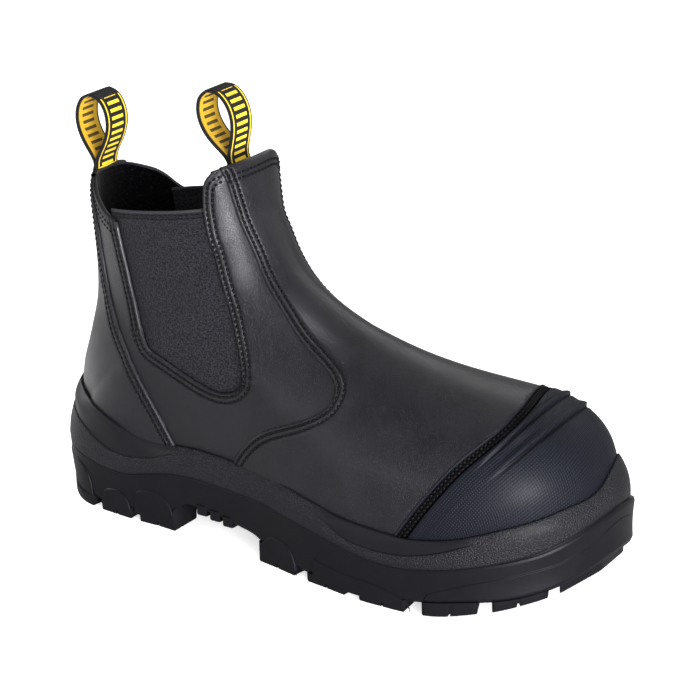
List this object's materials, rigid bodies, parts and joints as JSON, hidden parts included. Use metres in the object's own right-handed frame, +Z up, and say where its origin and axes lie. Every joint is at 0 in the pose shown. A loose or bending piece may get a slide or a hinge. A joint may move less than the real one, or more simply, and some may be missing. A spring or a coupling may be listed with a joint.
{
  "type": "safety boot",
  "caption": "Elastic-sided ankle safety boot with a hollow leather upper, ribbed rubber toe cap, moulded cup sole with deep lugs, and webbing pull loops at the collar.",
  "frame": {"origin": "middle of the boot's plan, on the floor under the sole", "axes": "+X along the boot toward the toe, +Y toward the inner (medial) side of the foot, +Z up"},
  "size_m": [0.314, 0.1193, 0.2282],
  "materials": {
    "leather": "black smooth full-grain leather with a satin dressing",
    "cap_rubber": "charcoal black moulded rubber with a fine cross-hatched grain",
    "sole_rubber": "black moulded rubber, matte",
    "band_rubber": "black moulded rubber with a coarse pebbled band",
    "elastic": "dark grey woven elastic",
    "foot_bed": "black textile over foam",
    "webbing": "woven webbing in black and golden yellow"
  },
  "bodies": {
    "root": {"outsole": "sole_rubber", "midsole": "band_rubber", "insole": "foot_bed", "upper": "leather", "vamp": "leather", "counter": "leather", "toe_cap": "cap_rubber", "gusset_lateral": "elastic", "gusset_medial": "elastic", "pull_loop_back": "webbing", "pull_loop_front": "webbing"}
  },
  "joints": []
}
